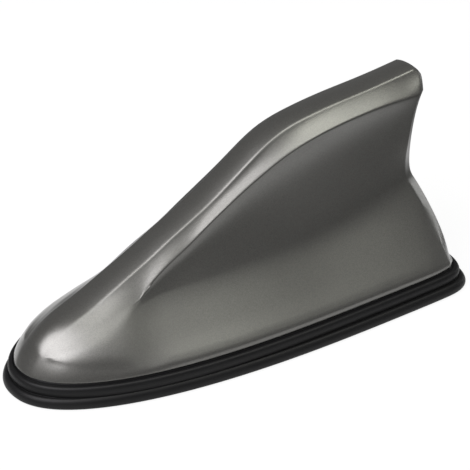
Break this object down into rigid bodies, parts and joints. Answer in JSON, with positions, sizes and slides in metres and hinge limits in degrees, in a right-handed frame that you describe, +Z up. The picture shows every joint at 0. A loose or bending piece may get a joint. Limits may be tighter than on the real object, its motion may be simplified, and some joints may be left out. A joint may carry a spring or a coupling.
{
  "type": "shark fin roof aerial",
  "caption": "Low fin-shaped car roof aerial: a painted cover on a black rubber base gasket, with its plate, circuit boards and coil inside.",
  "frame": {"origin": "centre of the footprint of the rubber base, on the roof plane", "axes": "+X from the nose to the tail, +Y across the car, +Z up from the roof"},
  "size_m": [0.168, 0.0748, 0.0737],
  "materials": {
    "cover_paint": "taupe grey metallic paint under clear lacquer",
    "gasket_rubber": "satin black moulded rubber",
    "plate_plastic": "matt black moulded plastic",
    "seal_rubber": "dark grey sponge rubber",
    "pad_foam": "closed-cell adhesive foam",
    "grommet_rubber": "matt black rubber",
    "screw_steel": "zinc-plated",
    "board_green": "glass-fibre laminate with green solder mask",
    "element_green": "glass-fibre laminate with green solder mask",
    "trace_copper": "etched copper",
    "load_brass": "folded sheet",
    "former_plastic": "natural moulded plastic",
    "coil_copper": "enamelled copper wire",
    "pin_tin": "tinned wire",
    "clip_brass": "spring brass",
    "can_steel": "tinned sheet",
    "chip_plastic": "moulded chip body",
    "leg_tin": "tinned legs",
    "core_ferrite": "sintered ferrite",
    "winding_copper": "wound enamelled copper",
    "capacitor_can": "drawn can",
    "chip_ceramic": "fired ceramic chips",
    "resistor_black": "coated chips",
    "header_plastic": "moulded header",
    "header_gold": "plated pins"
  },
  "bodies": {
    "root": {"cover_shell": "cover_paint", "base_gasket": "gasket_rubber", "base_plate": "plate_plastic", "seal_strip": "seal_rubber", "adhesive_pad": "pad_foam", "cable_grommet": "grommet_rubber", "cover_screws": "screw_steel", "main_board": "board_green", "board_screws": "screw_steel", "fin_board": "element_green", "element_trace": "trace_copper", "top_load": "load_brass", "coil_former": "former_plastic", "loading_coil": "coil_copper", "coil_pins": "pin_tin", "feed_clip": "clip_brass", "shield_can": "can_steel", "amp_chip": "chip_plastic", "chip_legs": "leg_tin", "choke_core": "core_ferrite", "choke_winding": "winding_copper", "smoothing_capacitor": "capacitor_can", "ceramic_capacitors": "chip_ceramic", "chip_resistors": "resistor_black", "header_housing": "header_plastic", "header_pins": "header_gold"}
  },
  "joints": []
}
